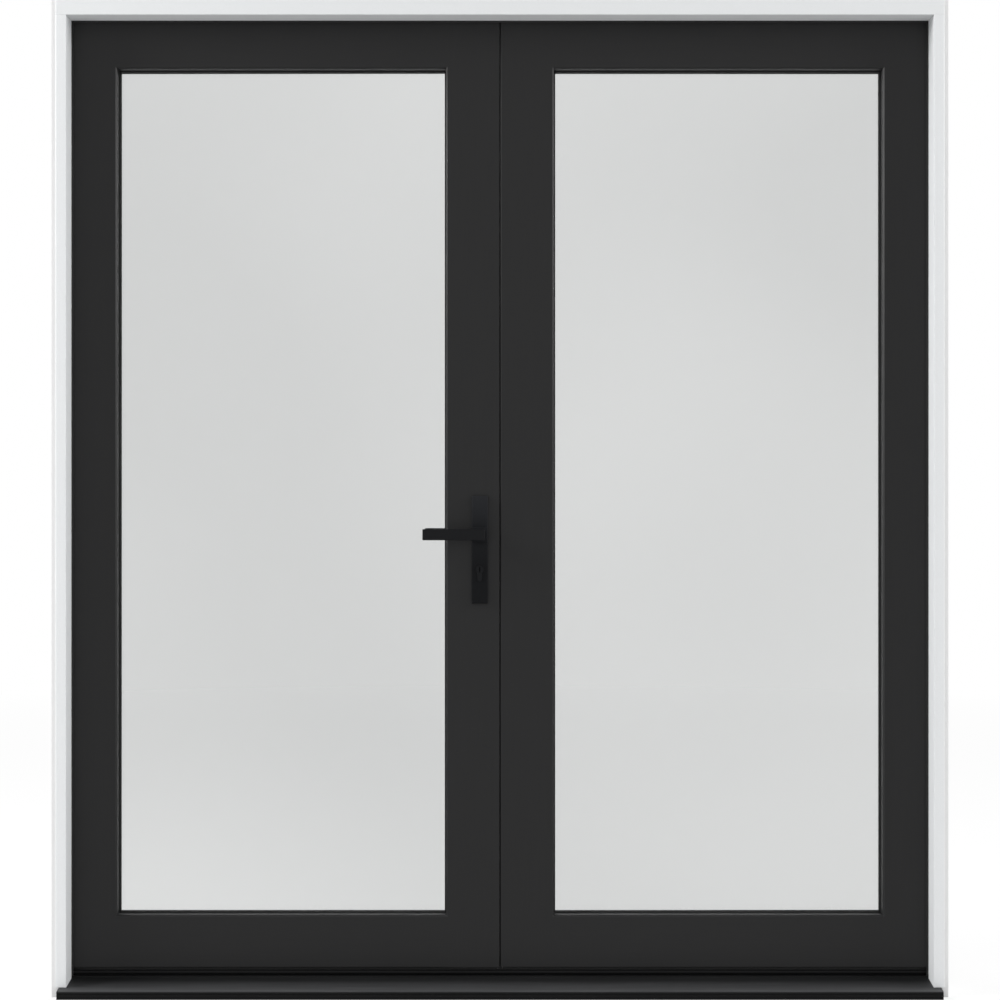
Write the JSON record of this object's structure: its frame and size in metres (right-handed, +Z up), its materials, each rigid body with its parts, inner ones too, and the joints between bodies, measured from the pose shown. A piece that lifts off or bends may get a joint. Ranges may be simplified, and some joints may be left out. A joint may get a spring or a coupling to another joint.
{
  "type": "double french doors",
  "caption": "In-swing double glazed doors in a clad frame with a sloped sill, lever handle, lock and flush bolts.",
  "frame": {"origin": "underside of the sill, midway between the jambs and midway through the frame's depth", "axes": "+X to the right seen from outside, +Y into the room, +Z up"},
  "size_m": [1.816, 0.189, 2.019],
  "materials": {
    "white_wood": "white paint",
    "white_cover": "white paint",
    "sill_metal": "dark anodised",
    "core_wood": "bare",
    "black_wood": "black paint",
    "glass": "clear",
    "spacer_metal": "black",
    "black_rubber": "matte",
    "block_plastic": "matte",
    "hinge_black": "satin black",
    "steel": "brushed",
    "handle_black": "satin black",
    "brass": "plain"
  },
  "bodies": {
    "frame": {"left_jamb": "white_wood", "right_jamb": "white_wood", "head_jamb": "white_wood", "frame_stops": "white_wood", "side_cladding": "white_cover", "head_cladding": "white_cover", "sill": "sill_metal", "sill_core": "core_wood", "threshold_cap": "sill_metal", "weatherstrips": "black_rubber", "bolt_keeps": "steel", "hinge_frame_plates": "hinge_black", "hinge_pins": "hinge_black", "hinge_frame_screws": "steel"},
    "left_leaf": {"left_hinge_stile": "black_wood", "left_lock_stile": "black_wood", "left_top_rail": "black_wood", "left_bottom_rail": "black_wood", "left_glass_panes": "glass", "left_glass_spacer": "spacer_metal", "left_glazing_gasket": "black_rubber", "left_glazing_beads": "black_wood", "left_setting_blocks": "block_plastic", "left_door_sweep": "black_rubber", "left_hinge_leaf_plates": "hinge_black", "left_leaf_screws": "steel", "lock_case": "steel", "lock_faceplate": "steel", "handle_plate_outside": "handle_black", "handle_plate_inside": "handle_black", "handle_plate_screws": "handle_black", "key_cylinder": "handle_black"},
    "right_leaf": {"right_hinge_stile": "black_wood", "right_lock_stile": "black_wood", "right_top_rail": "black_wood", "right_bottom_rail": "black_wood", "right_glass_panes": "glass", "right_glass_spacer": "spacer_metal", "right_glazing_gasket": "black_rubber", "right_glazing_beads": "black_wood", "right_setting_blocks": "block_plastic", "right_door_sweep": "black_rubber", "right_hinge_leaf_plates": "hinge_black", "right_leaf_screws": "steel", "strike_plate": "steel", "flush_bolt_plates": "steel", "meeting_seal": "black_rubber"},
    "levers": {"lever_outside": "handle_black", "lever_inside": "handle_black", "spindle": "steel", "lock_hub": "steel"},
    "cylinder_turn": {"key_plug": "handle_black", "cylinder_cam": "brass", "thumb_turn": "handle_black"},
    "latch": {"latch_bolt": "steel"},
    "dead": {"deadbolt": "steel"},
    "top_shoot": {"top_shoot_bolt": "steel"},
    "bottom_shoot": {"bottom_shoot_bolt": "steel"},
    "top_flush": {"top_flush_bolt": "steel"},
    "bottom_flush": {"bottom_flush_bolt": "steel"}
  },
  "joints": [
    {"name": "left_leaf_swing", "type": "hinge", "parent": "frame", "child": "left_leaf", "pos_m": [-0.8899, 0.065, 1.02], "axis": [0, 0, 1], "range_deg": [0, 170]},
    {"name": "right_leaf_swing", "type": "hinge", "parent": "frame", "child": "right_leaf", "pos_m": [0.8899, 0.065, 1.02], "axis": [0, 0, -1], "range_deg": [0, 170]},
    {"name": "lever_lift", "type": "hinge", "parent": "left_leaf", "child": "levers", "pos_m": [-0.0415, 0.0295, 0.9365], "axis": [0, 1, 0], "range_deg": [0, 45]},
    {"name": "thumb_turn_spin", "type": "hinge", "parent": "left_leaf", "child": "cylinder_turn", "pos_m": [-0.0415, 0.0295, 0.8645], "axis": [0, -1, 0], "range_deg": [0, 90]},
    {"name": "deadbolt_slide", "type": "slide", "parent": "left_leaf", "child": "dead", "axis": [1, 0, 0], "range_m": [0, 0.02]},
    {"name": "latch_slide", "type": "slide", "parent": "left_leaf", "child": "latch", "axis": [1, 0, 0], "range_m": [0, 0.012]},
    {"name": "top_shoot_slide", "type": "slide", "parent": "left_leaf", "child": "top_shoot", "axis": [0, 0, 1], "range_m": [0, 0.015]},
    {"name": "bottom_shoot_slide", "type": "slide", "parent": "left_leaf", "child": "bottom_shoot", "axis": [0, 0, -1], "range_m": [0, 0.015]},
    {"name": "top_flush_slide", "type": "slide", "parent": "right_leaf", "child": "top_flush", "axis": [0, 0, 1], "range_m": [0, 0.015]},
    {"name": "bottom_flush_slide", "type": "slide", "parent": "right_leaf", "child": "bottom_flush", "axis": [0, 0, -1], "range_m": [0, 0.015]}
  ],
  "couplings": [
    {"joint": "lever_lift", "follows": "top_shoot_slide", "rad_per_m": 52.36},
    {"joint": "bottom_shoot_slide", "follows": "top_shoot_slide", "ratio": 1},
    {"joint": "thumb_turn_spin", "follows": "deadbolt_slide", "rad_per_m": 78.54}
  ]
}
